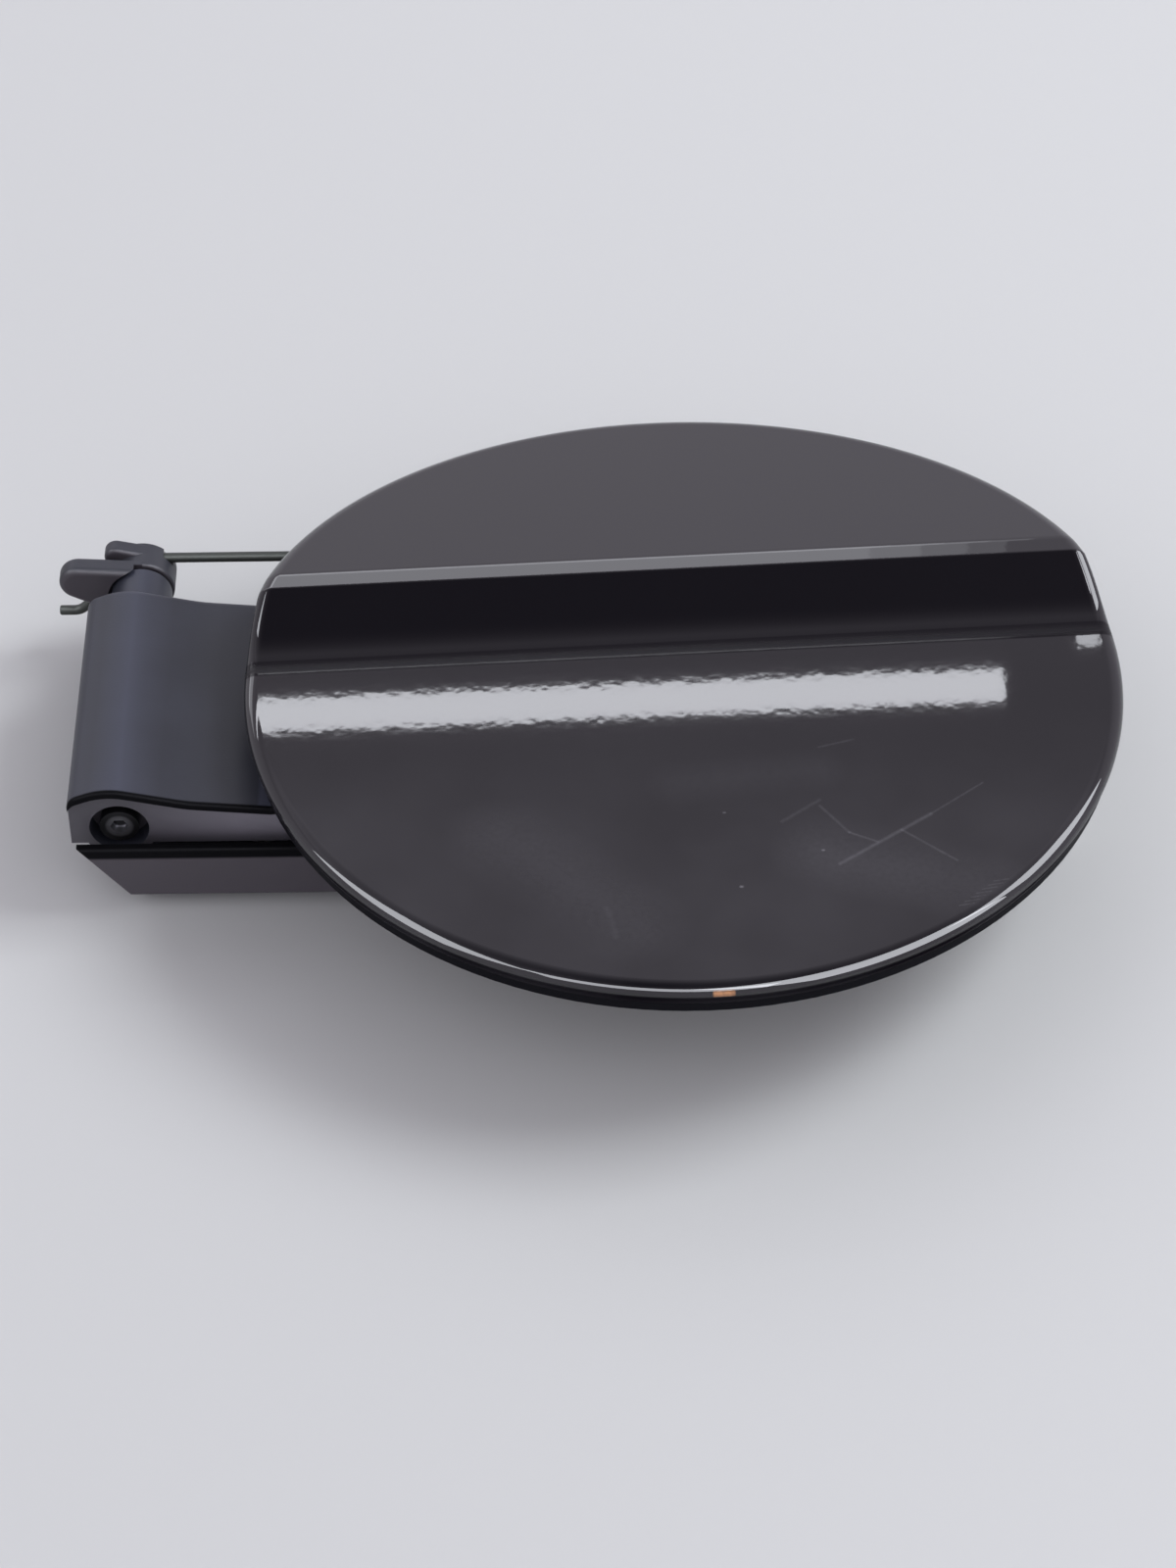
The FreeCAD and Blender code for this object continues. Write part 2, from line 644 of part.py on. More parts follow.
def base_bracket():
    """Moulded base: floor on two feet, side walls, tongue for the pin and far ear."""
    far_out = BASE_FAR_Y + BASE_WALL
    floor = box(BASE_SLOPE_LOW_X, BASE_END_X, BASE_NEAR_Y + BASE_WALL, BASE_FAR_Y, BASE_LIFT, BASE_TOP_Z)
    near_y = ARM_NEAR_Y + CHEEK_T + TONGUE_GAP
    far_y = ARM_FAR_Y - CHEEK_T - TONGUE_GAP
    tongue = along_pin(TONGUE_R, near_y, far_y)
    web = box(PIN_X + WEB_X, PIN_X + WEB_X + WEB_T, near_y, far_y, BASE_LIFT, PIN_Z + WEB_TOP)
    feet = [upright(FOOT_R, x, y, 0, BASE_TOP_Z) for x, y in screw_places()]
    near_wall = base_side(BASE_NEAR_Y, BASE_WALL_TOP, BASE_NEAR_Y)
    far_wall = base_side(BASE_FAR_Y, FAR_WALL_TOP, far_out)
    body = joined([floor, tongue, web, near_wall, far_wall] + feet + base_ear())
    bore = along_pin(PIN_R + FIT_GAP, near_y, EAR_Y + EAR_T)
    holes = [upright(SLEEVE_R + FIT_GAP, x, y, 0, BASE_TOP_Z) for x, y in screw_places()]
    return body.cut([bore] + holes + ear_hollows())


def mount_sleeves():
    """Steel sleeves that take the clamp load of the two base screws."""
    top = BASE_TOP_Z + SLEEVE_PROUD
    return [upright(SLEEVE_R, x, y, 0, top).cut(upright(SLEEVE_BORE_R, x, y, 0, top))
            for x, y in screw_places()]


def save(name, shape):
    """Write one piece, or a group of equal pieces, as a STEP file."""
    if isinstance(shape, list):
        shape = Part.makeCompound(shape)
    shape.exportStep("parts/" + name + ".step")


os.makedirs("parts", exist_ok=True)
near_buffer, far_buffer = [buffer(x, y) for x, y in buffer_places()]
save("outer_skin", outer_skin())
save("inner_panel", inner_panel())
save("hinge_arm", hinge_arm())
save("arm_screws", arm_screws())
save("panel_nuts", panel_nuts())
save("latch_striker", latch_striker())
save("striker_rivets", striker_rivets())
save("near_buffer", near_buffer)
save("far_buffer", far_buffer)
save("spring_keeper", spring_keeper())
save("torsion_spring", torsion_spring())
save("hinge_pin", hinge_pin())
save("pin_clip", pin_clip())
save("base_bracket", base_bracket())
save("mount_sleeves", mount_sleeves())
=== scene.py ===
import json
import math
import bpy
import numpy as np
from mathutils import Matrix, Vector

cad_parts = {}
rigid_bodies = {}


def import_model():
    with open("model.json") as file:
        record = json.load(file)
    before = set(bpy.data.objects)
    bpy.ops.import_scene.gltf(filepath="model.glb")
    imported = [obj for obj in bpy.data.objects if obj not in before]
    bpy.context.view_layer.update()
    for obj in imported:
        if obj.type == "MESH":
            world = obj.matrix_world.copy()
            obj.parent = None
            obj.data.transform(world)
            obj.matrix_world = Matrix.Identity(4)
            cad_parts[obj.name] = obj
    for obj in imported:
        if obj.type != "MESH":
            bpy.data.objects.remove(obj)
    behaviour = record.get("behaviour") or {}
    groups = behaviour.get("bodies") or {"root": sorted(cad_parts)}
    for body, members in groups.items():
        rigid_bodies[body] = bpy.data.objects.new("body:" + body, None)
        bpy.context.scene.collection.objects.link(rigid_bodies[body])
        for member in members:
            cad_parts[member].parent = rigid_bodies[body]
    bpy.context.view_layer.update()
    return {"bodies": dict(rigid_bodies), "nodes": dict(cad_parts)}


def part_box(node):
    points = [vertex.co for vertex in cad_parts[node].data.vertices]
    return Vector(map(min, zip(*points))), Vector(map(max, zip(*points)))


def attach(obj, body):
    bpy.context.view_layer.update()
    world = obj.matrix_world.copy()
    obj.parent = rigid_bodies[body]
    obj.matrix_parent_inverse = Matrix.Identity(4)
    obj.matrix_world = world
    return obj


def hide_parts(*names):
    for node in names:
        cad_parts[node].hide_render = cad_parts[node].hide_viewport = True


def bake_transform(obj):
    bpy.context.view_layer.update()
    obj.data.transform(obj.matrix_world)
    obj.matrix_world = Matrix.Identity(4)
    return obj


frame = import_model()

# %% [markdown]
# # A fuel filler flap
# The object is the round painted door over a car's fuel filler. It hangs on a plastic gooseneck
# arm, which turns on a pin in a hinge base. The CAD frame gives every piece its place, in metres.
# The cells below give each piece its finish and the fine shapes that show. The first one lists
# what the frame holds, because later sizes are read from these boxes.

# %% Bodies and nodes of the frame
for body in frame["bodies"]:
    print("body", body)
for node in sorted(frame["nodes"]):
    low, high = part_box(node)
    print(node, [round(v * 1000, 1) for v in low], [round(v * 1000, 1) for v in high])

# %% [markdown]
# ## The press tool
# A body crease runs across the flap. Above it the sheet falls away in a plane, and below it the
# sheet drops through a scoop into a flat field. A press tool like this is one profile drawn along
# the crease, so the height of the sheet depends on one distance only, measured across the crease.
# The outline comes from the frame. The profile's sizes are those that mirror the room as the real
# paint does.

# %% Sizes of the press tool
skin_low, skin_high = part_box("outer_skin")
CENTRE = np.array([(skin_low.x + skin_high.x) / 2, (skin_low.y + skin_high.y) / 2])
INSIDE_BOX = 0.00001
RADIUS = (skin_high.x - skin_low.x) / 2 - INSIDE_BOX
CREASE_Z = 0.03793
FIELD_Z = 0.0322
CREASE_OFFSET = 0.0230
CREASE_TURN = math.radians(3.1)
CREASE_R = 0.0012
STRIP_W = 0.0042
STRIP_FALL = math.tan(math.radians(4.0))
STRIP_R = 0.012
UPPER_FALL = math.tan(math.radians(11.4))
SCOOP_FALL = math.tan(math.radians(25.0))
SCOOP_R = 0.020
SCOOP_LOW = CREASE_OFFSET - (CREASE_Z - FIELD_Z) / SCOOP_FALL
STRIP_END = CREASE_OFFSET + STRIP_W
print("flap radius", round(RADIUS * 1000, 2), "mm")
print("scoop", round((CREASE_OFFSET - SCOOP_LOW) * 1000, 1), "mm wide")

# %% [markdown]
# ### Height of the pressed sheet
# Sheet metal can't turn a sharp corner, so each corner of the profile is an arc that touches the
# straight stretches on both sides. The height is worked out as straight lines first, and each
# corner then adds its arc. This keeps every radius a plain number that can be changed.

# %% Height over the plan
def crease_distance(x, y):
    """Distance across the crease: the plan turned about the flap's centre by the crease's angle."""
    return (y - CENTRE[1]) * math.cos(CREASE_TURN) - (x - CENTRE[0]) * math.sin(CREASE_TURN)


def corner_round(t, before, after, radius):
    """What a rounded corner at t = 0 adds to the two straight lines that meet there.

    The line turns from slope `before` to slope `after`. Within the tangent length of the corner,
    the height is that of a circle of the given radius that touches both lines.
    """
    a0, a1 = math.atan(before), math.atan(after)
    reach = radius * math.tan(abs(a1 - a0) / 2)
    bend = 1 if a1 > a0 else -1
    t0, t1 = -reach * math.cos(a0), reach * math.cos(a1)
    middle_t = t0 - bend * radius * math.sin(a0)
    middle_z = before * t0 + bend * radius * math.cos(a0)
    arc = middle_z - bend * np.sqrt(np.maximum(radius**2 - (t - middle_t) ** 2, 0))
    line = np.where(t < 0, before * t, after * t)
    return np.where((t > t0) & (t < t1), arc, line) - line


def press_height(x, y):
    """Height of the painted face over a point of the plan.

    With w the distance across the crease, the face is the level field, then the rising scoop, a
    narrow strip that falls a little, and the falling upper part, with its three corners rounded.
    """
    w = crease_distance(x, y)
    line = np.clip(w - SCOOP_LOW, 0, CREASE_OFFSET - SCOOP_LOW) * SCOOP_FALL
    line = line - np.clip(w - CREASE_OFFSET, 0, STRIP_W) * STRIP_FALL
    line = line - np.maximum(w - STRIP_END, 0) * UPPER_FALL
    rounds = corner_round(w - SCOOP_LOW, 0, SCOOP_FALL, SCOOP_R)
    rounds = rounds + corner_round(w - CREASE_OFFSET, SCOOP_FALL, -STRIP_FALL, CREASE_R)
    rounds = rounds + corner_round(w - STRIP_END, -STRIP_FALL, -UPPER_FALL, STRIP_R)
    return FIELD_Z + line + rounds


print("height at the flap's centre", round(float(press_height(*CENTRE)) * 1000, 2), "mm")

# %% [markdown]
# ## Meshes from arrays
# A surface is a grid of points: rows follow one parameter and columns the other. Each cell of
# the grid becomes a four-sided face. The helpers take whole arrays, so no point is typed in, and
# each new piece says which CAD nodes it stands for.

# %% Grid to mesh
def grid_faces(rows, columns, closed=False):
    """Faces of a grid of rows and columns; a closed grid joins its last column to its first."""
    i, j = np.meshgrid(np.arange(rows - 1), np.arange(columns if closed else columns - 1), indexing="ij")
    k = (j + 1) % columns
    cells = [i * columns + j, i * columns + k, (i + 1) * columns + k, (i + 1) * columns + j]
    return np.stack(cells, -1).reshape(-1, 4)


def add_piece(name, points, face_sets, body, nodes):
    """Smooth mesh from points and sets of faces, which stands for CAD nodes and may ride a body."""
    faces = []
    for face_set in face_sets:
        faces += face_set.tolist()
    mesh = bpy.data.meshes.new(name)
    mesh.from_pydata(points.tolist(), [], faces)
    mesh.update()
    mesh.polygons.foreach_set("use_smooth", np.full(len(mesh.polygons), True))
    piece = bpy.data.objects.new(name, mesh)
    bpy.context.scene.collection.objects.link(piece)
    if body:
        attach(piece, body)
    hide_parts(*nodes)
    return piece


print("a grid of 3 by 4 points has", len(grid_faces(3, 4)), "faces")

# %% [markdown]
# ## The painted skin
# The real skin is pressed from sheet, and its edge is rolled down and hemmed over the inner
# panel. Rows of points run along the crease, with many rows close to it, so the crease stays
# crisp. The rows end on a circle, and one more point closes each end of the grid.

# %% Top of the skin
EDGE_OUT = 0.0027
ROWS, COLUMNS = 190, 140
CREASE_ROWS = (-0.0006, 0.0006, 25)
STRIP_ROWS = (0.0008, 0.0060, 22)
QUARTER = math.pi / 2


def flap_plan(along, across):
    """Plan point from distances along and across the crease, turned by the crease's angle."""
    c, s = math.cos(CREASE_TURN), math.sin(CREASE_TURN)
    return CENTRE[0] + along * c - across * s, CENTRE[1] + along * s + across * c


def pressed(x, y, down=0.0):
    """Points of the plan set on the pressed sheet, or some way below it."""
    return np.stack([x, y, press_height(x, y) - down], -1)


inner_r = RADIUS - EDGE_OUT
crease_rows = np.concatenate([np.linspace(*CREASE_ROWS), np.linspace(*STRIP_ROWS)])
crease_angles = np.arcsin((CREASE_OFFSET + crease_rows) / inner_r)
angles = np.unique(np.concatenate([np.linspace(-QUARTER, QUARTER, ROWS), crease_angles]))[1:-1]
across = inner_r * np.sin(angles)[:, None]
along = inner_r * np.cos(angles)[:, None] * np.sin(np.linspace(-QUARTER, QUARTER, COLUMNS))[None, :]
top = pressed(*flap_plan(along, across + 0 * along)).reshape(-1, 3)
poles = pressed(*flap_plan(np.zeros(2), inner_r * np.array([-1.0, 1.0])))
index = np.arange(len(top)).reshape(len(angles), COLUMNS)
near_pole, far_pole = len(top), len(top) + 1
near_fan = np.stack([np.full(COLUMNS - 1, near_pole), index[0, 1:], index[0, :-1]], -1)
far_fan = np.stack([np.full(COLUMNS - 1, far_pole), index[-1, :-1], index[-1, 1:]], -1)
print("rows on the skin", len(angles), "points on top", len(top))

# %% [markdown]
# ### Rolled edge and hem
# At the rim the sheet turns down through a quarter of an ellipse and then runs down the hem, which
# leans in and has a fine groove where the fold closes on the inner panel. The profile is carried
# round the rim, so it follows the pressed height and the crease shows on the edge too.

# %% Rim of the skin
EDGE_DOWN = 0.0019
EDGE_POINTS = 13
HEM_TAPER = 0.3
HEM_DOWN = np.array([2.1, 2.35, 2.5, 2.7, 2.85, 3.1, 3.7, 4.05, 4.2]) / 1000
HEM_GROOVE = np.array([0, 0.05, 0.25, 0.25, 0.05, 0, 0, 0.08, 0.3]) / 1000
rim_ids = np.concatenate([[near_pole], index[:, -1], [far_pole], index[::-1, 0]])
rim_angle = np.concatenate([[-QUARTER], angles, [QUARTER], math.pi - angles[::-1]])
turn = np.linspace(0, QUARTER, EDGE_POINTS)[1:]
hem_out = EDGE_OUT - HEM_GROOVE - HEM_TAPER * (HEM_DOWN - EDGE_DOWN)
rim_r = inner_r + np.concatenate([EDGE_OUT * np.sin(turn), hem_out])[:, None]
rim_down = np.concatenate([EDGE_DOWN * (1 - np.cos(turn)), HEM_DOWN])[:, None]
rim_plan = flap_plan(rim_r * np.cos(rim_angle)[None, :], rim_r * np.sin(rim_angle)[None, :])
rim = pressed(*rim_plan, rim_down).reshape(-1, 3)
rim_start = len(top) + len(poles)
rim_count = len(rim_ids)
rings = np.vstack([rim_ids, rim_start + np.arange(len(rim)).reshape(-1, rim_count)])
beside = np.roll(rings, -1, axis=1)
rim_faces = np.stack([rings[:-1], rings[1:], beside[1:], beside[:-1]], -1).reshape(-1, 4)
print("rings on the rim", len(rings), "of", rim_count, "points")

# %% [markdown]
# ### The skin as a piece
# The mesh is one surface, and a Solidify modifier gives it the sheet's thickness on the inside.
# Two attributes travel with the points: `hem` marks the folded edge, and `hollow` marks the line
# where the field turns up into the scoop. The paint reads both, because dirt dulls it there.

# %% Skin piece
SHEET = 0.0009
DULL_FROM_START = [-0.0016, -0.0004, 0.0008, 0.0026]
DULL_SHARE = [0, 1, 1, 0]


def hollow_share(x, y):
    """Share of dull paint: it rises just before the scoop's arc starts and falls again within it."""
    start = SCOOP_LOW - SCOOP_R * math.tan(math.atan(SCOOP_FALL) / 2)
    return np.interp(crease_distance(x, y) - start, DULL_FROM_START, DULL_SHARE)


def add_share(piece, name, shares):
    """One number for each point of a piece, which a material can read by its name."""
    attribute = piece.data.attributes.new(name, "FLOAT", "POINT")
    attribute.data.foreach_set("value", shares)


skin_points = np.concatenate([top, poles, rim])
skin_faces = [grid_faces(len(angles), COLUMNS), near_fan, far_fan, rim_faces]
skin = add_piece("flap_skin", skin_points, skin_faces, "flap", ["outer_skin"])
sheet = skin.modifiers.new("sheet", "SOLIDIFY")
sheet.thickness = SHEET
sheet.offset = -1
last_rolled_ring = rim_start + (len(turn) - 1) * rim_count
add_share(skin, "hem", (np.arange(len(skin_points)) >= last_rolled_ring).astype(float))
add_share(skin, "hollow", hollow_share(skin_points[:, 0], skin_points[:, 1]))
print("skin faces", len(skin.data.polygons))

# %% [markdown]
# ## The closing spring
# A torsion spring is wound from hard-drawn wire. Its long leg pushes on the flap and its short
# leg rests on the base. The wire is a circle carried along a centre line: a straight leg, one
# turn of tilted half circles round the pin, and a slanting leg with a level tip.

# %% Turn round the pin
spring_low, spring_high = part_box("torsion_spring")
pin_low, pin_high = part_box("hinge_pin")
WIRE_R = 0.0010
HALF_TURN_POINTS = 33
PIN = np.array([(pin_low.x + pin_high.x) / 2, (pin_low.z + pin_high.z) / 2])
LEG_Y, COIL_Y = spring_high.y - WIRE_R, spring_low.y + WIRE_R
COIL_R = spring_high.z - WIRE_R - PIN[1]


def half_turn(start, end, side):
    """Half circle between two points: a cosine along the chord, and a sine out to one side along X."""
    a = np.linspace(0, math.pi, HALF_TURN_POINTS)[:, None]
    middle = (start + end) / 2
    out = np.array([side * np.linalg.norm(end - start) / 2, 0, 0])
    return middle + (start - middle) * np.cos(a) + out * np.sin(a)


def pin_circle(a, y):
    """Point beside the pin at the coil's radius; the angle starts at the top and grows to the left."""
    a = np.asarray(a, float)
    return np.stack([PIN[0] - COIL_R * np.sin(a), y + 0 * a, PIN[1] + COIL_R * np.cos(a)], -1)


top_far, top_near = pin_circle(0, LEG_Y), pin_circle(0, COIL_Y)
bottom = pin_circle(math.pi, (LEG_Y + COIL_Y) / 2)
turn_line = np.concatenate([half_turn(top_far, bottom, -1), half_turn(bottom, top_near, 1)[1:]])
print("coil radius", round(COIL_R * 1000, 2), "mm, points on the turn", len(turn_line))

# %% [markdown]
# ### The two legs
# The long leg leaves the top of the turn in a straight line. The short leg runs on round the pin,
# drops at a slant and bends level, as if pulled round a small former, so its bend is an arc.

# %% Legs of the spring
SLANT = math.radians(45)
BEND_R = 0.003
LEG_POINTS = 79
BEND_POINTS = 9
leave = pin_circle(np.linspace(0, SLANT, BEND_POINTS), COIL_Y)
low_z = spring_low.z + WIRE_R
corner_x = leave[-1][0] - (leave[-1][2] - low_z) / math.tan(SLANT)
bend_end_x = corner_x - BEND_R * math.tan(SLANT / 2)
bend_a = np.linspace(SLANT, 0, BEND_POINTS)
bend_z = low_z + BEND_R * (1 - np.cos(bend_a))
bend = np.stack([bend_end_x + BEND_R * np.sin(bend_a), COIL_Y + 0 * bend_a, bend_z], -1)
tip = np.array([[spring_low.x, COIL_Y, low_z]])
leg_x = np.linspace(spring_high.x, PIN[0], LEG_POINTS, endpoint=False)
long_leg = np.stack([leg_x, 0 * leg_x + LEG_Y, 0 * leg_x + top_far[2]], -1)
wire_line = np.concatenate([long_leg, turn_line, leave[1:], bend, tip])
print("points along the wire", len(wire_line))

# %% [markdown]
# ### Wire round the line
# Each ring of points lies square to the line. The wire's ends are cut flat with the burr broken
# off, so the last rings shrink a little and a disc closes them.

# %% Spring piece
RING_POINTS = 20
BURR = 0.00025
CUT_SHARE = 0.8


def doubled_ends(values):
    """The same rows with the first and the last one repeated."""
    return np.concatenate([values[:1], values, values[-1:]])


def wire_rings(line):
    """Rings of a round wire: the line plus a cosine along one side and a sine along the other."""
    ahead = np.gradient(line, axis=0)
    ahead /= np.linalg.norm(ahead, axis=1)[:, None]
    side = np.array([0, 1.0, 0]) - ahead * ahead[:, 1:2]
    side /= np.linalg.norm(side, axis=1)[:, None]
    rise = doubled_ends(np.cross(ahead, side))[:, None]
    side = doubled_ends(side)[:, None]
    middle = doubled_ends(line)
    middle[1] += BURR * ahead[0]
    middle[-2] -= BURR * ahead[-1]
    radius = np.full((len(middle), 1, 1), WIRE_R)
    radius[[0, -1]] = CUT_SHARE * WIRE_R
    a = np.linspace(0, 2 * math.pi, RING_POINTS, endpoint=False)[:, None]
    return middle[:, None] + radius * (np.cos(a) * side + np.sin(a) * rise)


wire = wire_rings(wire_line)
wire_points = wire.reshape(-1, 3)
wire_sides = grid_faces(len(wire), RING_POINTS, closed=True)[:, ::-1]
first_disc = np.arange(RING_POINTS)[None, :]
last_disc = len(wire_points) - 1 - first_disc
wire_faces = [wire_sides, first_disc, last_disc]
spring = add_piece("spring_wire", wire_points, wire_faces, None, ["torsion_spring"])
print("spring faces", len(spring.data.polygons))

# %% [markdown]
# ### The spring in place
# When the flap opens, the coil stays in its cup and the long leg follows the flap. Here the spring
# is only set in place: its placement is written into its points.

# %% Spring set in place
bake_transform(spring)

# %% [markdown]
# ## Finishes
# Each finish is a Principled material. What varies over a surface is worked out by nodes in the
# object's own coordinates, in metres, so a pattern has the same size wherever the part is used.
# Small helpers add a node, a sum, a change of range and a mix of two colours to a node tree.

# %% Helpers for node trees
def add_node(tree, kind, inputs=None, **options):
    """Node of a kind with its options; each input is a constant or another node's output."""
    node = tree.nodes.new("ShaderNode" + kind)
    for option, value in options.items():
        setattr(node, option, value)
    for socket, value in (inputs or {}).items():
        if isinstance(value, bpy.types.NodeSocket):
            tree.links.new(value, node.inputs[socket])
        else:
            node.inputs[socket].default_value = value
    return node


def calculate(tree, operation, *values, clamp=False):
    """Result of a sum on numbers or outputs."""
    node = add_node(tree, "Math", dict(enumerate(values)), operation=operation, use_clamp=clamp)
    return node.outputs["Value"]


def remap(tree, value, start, end, low=0.0, high=1.0):
    """Straight change from low to high while a value goes from start to end."""
    ends = {"Value": value, "From Min": start, "From Max": end, "To Min": low, "To Max": high}
    return add_node(tree, "MapRange", ends).outputs["Result"]


def mix_colours(tree, share, first, second):
    """Mix of two colours by a share of the second."""
    colours = {"Factor": share, "A": first, "B": second}
    return add_node(tree, "Mix", colours, data_type="RGBA").outputs["Result"]


def opaque(colour, gain=1.0):
    """Colour times a gain, with full alpha."""
    return (*(gain * c for c in colour), 1)


print("helpers ready in Blender", bpy.app.version_string)

# %% [markdown]
# ### Materials and patterns
# A constant value, such as a metal's roughness, is set on the shader itself. A noise pattern is
# given in waves per metre, so 1000 makes spots of about one millimetre.

# %% Helpers for materials
def new_material(name, colour, roughness, metallic=0.0):
    """Principled material with constant values, and its node tree and shader."""
    material = bpy.data.materials.new(name)
    material.use_nodes = True
    shader = material.node_tree.nodes["Principled BSDF"]
    shader.inputs["Base Color"].default_value = opaque(colour)
    shader.inputs["Roughness"].default_value = roughness
    shader.inputs["Metallic"].default_value = metallic
    return material, material.node_tree, shader


def object_place(tree):
    """Place of a surface point in the object's own coordinates."""
    return add_node(tree, "TexCoord").outputs["Object"]


def noise(tree, scale, detail=2.0):
    """Noise in the object's own coordinates."""
    texture = add_node(tree, "TexNoise", {"Vector": object_place(tree), "Scale": scale, "Detail": detail})
    return texture.outputs["Fac"]


def dress(material, *names):
    """Give a material to CAD nodes or new pieces."""
    for name in names:
        piece = bpy.data.objects.get(name) or frame["nodes"][name]
        piece.data.materials.clear()
        piece.data.materials.append(material)
    print(material.name, "on", ", ".join(names))


print("materials before the finishes", len(bpy.data.materials))

# %% [markdown]
# ### Marks on the paint
# A scratch, a smudge and a chip are all marks between two points of the plan. One node group
# makes the mask of such a mark: it is strongest on the line between the points, fades with the
# distance from it, and is broken up by noise, as a real scratch skips over the paint.

# %% Group for one mark
MARK_NOISE = 900
NOISE_MIDDLE = 0.5
LEAST_SPAN = 1e-9


def new_group(name, inputs, outputs):
    """Node group with named sockets, and the sockets of its input and output nodes."""
    group = bpy.data.node_groups.new(name, "ShaderNodeTree")
    for label, kind in inputs.items():
        group.interface.new_socket(label, in_out="INPUT", socket_type="NodeSocket" + kind)
    for label, kind in outputs.items():
        group.interface.new_socket(label, in_out="OUTPUT", socket_type="NodeSocket" + kind)
    given = group.nodes.new("NodeGroupInput").outputs
    result = group.nodes.new("NodeGroupOutput").inputs
    return group, given, result


def vector(tree, operation, first, second):
    """Vector that a sum on two vectors gives."""
    return add_node(tree, "VectorMath", {0: first, 1: second}, operation=operation).outputs["Vector"]


def dot(tree, first, second):
    """Dot product of two vectors."""
    return add_node(tree, "VectorMath", {0: first, 1: second}, operation="DOT_PRODUCT").outputs["Value"]


def length(tree, arrow):
    """Length of a vector."""
    return add_node(tree, "VectorMath", {0: arrow}, operation="LENGTH").outputs["Value"]


mark_inputs = {"From": "Vector", "To": "Vector", "Width": "Float", "Breaks": "Float"}
MARK, given, result = new_group("paint_mark", mark_inputs, {"Mask": "Float"})
offset = vector(MARK, "SUBTRACT", vector(MARK, "MULTIPLY", object_place(MARK), (1, 1, 0)), given["From"])
span = vector(MARK, "SUBTRACT", given["To"], given["From"])
span_square = calculate(MARK, "ADD", dot(MARK, span, span), LEAST_SPAN)
run = calculate(MARK, "DIVIDE", dot(MARK, offset, span), span_square, clamp=True)
nearest = add_node(MARK, "VectorMath", {0: span, "Scale": run}, operation="SCALE").outputs["Vector"]
away = length(MARK, vector(MARK, "SUBTRACT", offset, nearest))
inside = calculate(MARK, "SUBTRACT", 1.0, calculate(MARK, "DIVIDE", away, given["Width"]), clamp=True)
uneven = calculate(MARK, "SUBTRACT", noise(MARK, MARK_NOISE), NOISE_MIDDLE)
whole = calculate(MARK, "MULTIPLY_ADD", uneven, given["Breaks"], 1.0)
MARK.links.new(calculate(MARK, "MULTIPLY", inside, whole, clamp=True), result["Mask"])
print("mark group nodes", len(MARK.nodes))

# %% [markdown]
# ### Worn spots
# The flap has been used: fine scratches cross the field, wiped smudges lie around them, a scuff
# sits by the rim, and one chip on the rolled edge shows the primer. Each mark is given by its two
# ends, in millimetres from the flap's centre, its half width, how patchy it is and how strong.

# %% Marks of the used flap
SCRATCHES = {
    "long": ((27, -51.5), (44, -39), 0.55, 1.0, 0.15),
    "long_end": ((44, -39), (54, -31), 0.34, 1.6, 0.09),
    "hook": ((24, -36.5), (29, -43.5), 0.42, 1.4, 0.10),
    "hook_end": ((29, -43.5), (34, -46), 0.36, 1.0, 0.12),
    "short": ((38.5, -43), (48, -51), 0.36, 1.6, 0.11),
    "faint": ((17, -40.5), (24, -35), 0.55, 2.0, 0.07),
    "upper": ((24.5, -21), (31, -19), 0.40, 1.8, 0.07),
    "arc": ((-15, -62), (-13.5, -69), 0.9, 2.0, 0.035),
    "smudge_right": ((24, -48), (52, -58), 10.0, 1.4, 0.055),
    "smudge_left": ((-34, -44), (-10, -66), 11.0, 1.6, 0.042),
    "smudge_high": ((-2, -30), (24, -27), 6.0, 1.8, 0.028),
    "speck_1": ((9, -57), (9.2, -57), 0.40, 0.0, 0.5),
    "speck_2": ((24, -48), (24.2, -48), 0.35, 0.0, 0.4),
    "speck_3": ((6.5, -38), (6.7, -38), 0.32, 0.0, 0.3),
}
SCUFF_STROKES = 7
SCUFF_X, SCUFF_STEP_X, STROKE_X = 47.6, 1.1, 2.6
SCUFF_Y, SCUFF_STEP_Y, STROKE_Y = -62.4, 1.0, 0.5
for i in range(SCUFF_STROKES):
    x = SCUFF_X + SCUFF_STEP_X * i
    y = SCUFF_Y + SCUFF_STEP_Y * i
    SCRATCHES[f"stroke_{i}"] = ((x, y), (x + STROKE_X, y + STROKE_Y), 0.20, 2.5, 0.10)
CHIP = ((3.6, -82.15), (6.9, -81.95), 0.45, 1.5)


def flap_point(spot):
    """Point of the plan, in metres, from millimetres off the flap's centre."""
    return (CENTRE[0] + spot[0] / 1000, CENTRE[1] + spot[1] / 1000, 0)


def add_mark(tree, start, end, width, breaks):
    """One mark's mask in a material."""
    sizes = {"From": flap_point(start), "To": flap_point(end), "Width": width / 1000, "Breaks": breaks}
    return add_node(tree, "Group", sizes, node_tree=MARK).outputs["Mask"]


print("marks on the paint", len(SCRATCHES) + 1)

# %% [markdown]
# ### Clear-coated paint
# Car paint is a dark base under clear coat. Sprayed coat dries with a faint waviness called
# orange peel, here of about two millimetres. One noise bends the normal a little, so a lamp's
# reflection gets a soft wobbly edge. The waves are only microns high, so a bump is enough.

# %% Orange peel
PAINT = (0.0065, 0.0055, 0.0078)
PAINT_ROUGHNESS = 0.02
PAINT_IOR = 1.55
PEEL_NOISE = 430
PEEL_DETAIL = 1.5
PEEL_STRENGTH = 1.0
PEEL_HEIGHT = 1.9e-6


